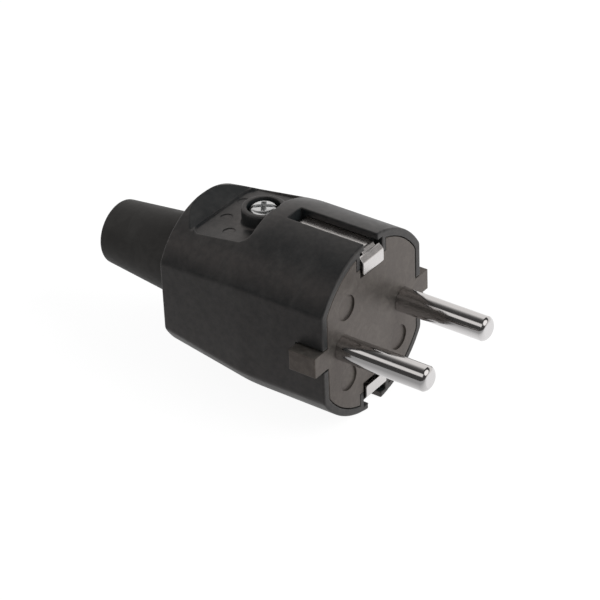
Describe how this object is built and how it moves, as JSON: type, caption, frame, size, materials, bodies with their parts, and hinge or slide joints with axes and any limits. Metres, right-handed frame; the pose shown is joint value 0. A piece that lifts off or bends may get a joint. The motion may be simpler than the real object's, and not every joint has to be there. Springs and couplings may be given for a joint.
{
  "type": "earthed mains plug",
  "caption": "Rewirable earthed mains plug: soft rubber housing with cable sleeve, hard contact insert, round pins and side earth contacts.",
  "frame": {"origin": "centre of the contact face, midway between the two pins", "axes": "+X along the pins, out of the contact face; pins at +Y and -Y; earth contacts at +Z and -Z, housing screw at +Z"},
  "size_m": [0.0785, 0.036, 0.036],
  "materials": {
    "rubber": "moulded black rubber, satin",
    "insert_plastic": "moulded warm dark grey polyamide, fine matt",
    "nickel_plate": "bright nickel plate on brass",
    "zinc_steel": "bright zinc plate on steel",
    "spring_steel": "plain rolled strip",
    "brass": "machined brass"
  },
  "bodies": {
    "root": {"housing": "rubber", "contact_carrier": "insert_plastic", "rear_frame": "insert_plastic", "cord_clamp": "insert_plastic", "live_pin": "nickel_plate", "neutral_pin": "nickel_plate", "earth_strap": "nickel_plate", "earth_terminal": "brass", "live_wire_guard": "spring_steel", "neutral_wire_guard": "spring_steel", "earth_wire_guard": "spring_steel", "live_terminal_screw": "zinc_steel", "neutral_terminal_screw": "zinc_steel", "earth_terminal_screw": "zinc_steel", "upper_frame_screw": "zinc_steel", "lower_frame_screw": "zinc_steel", "left_clamp_screw": "zinc_steel", "right_clamp_screw": "zinc_steel", "housing_screw": "zinc_steel", "housing_nut": "zinc_steel"}
  },
  "joints": []
}
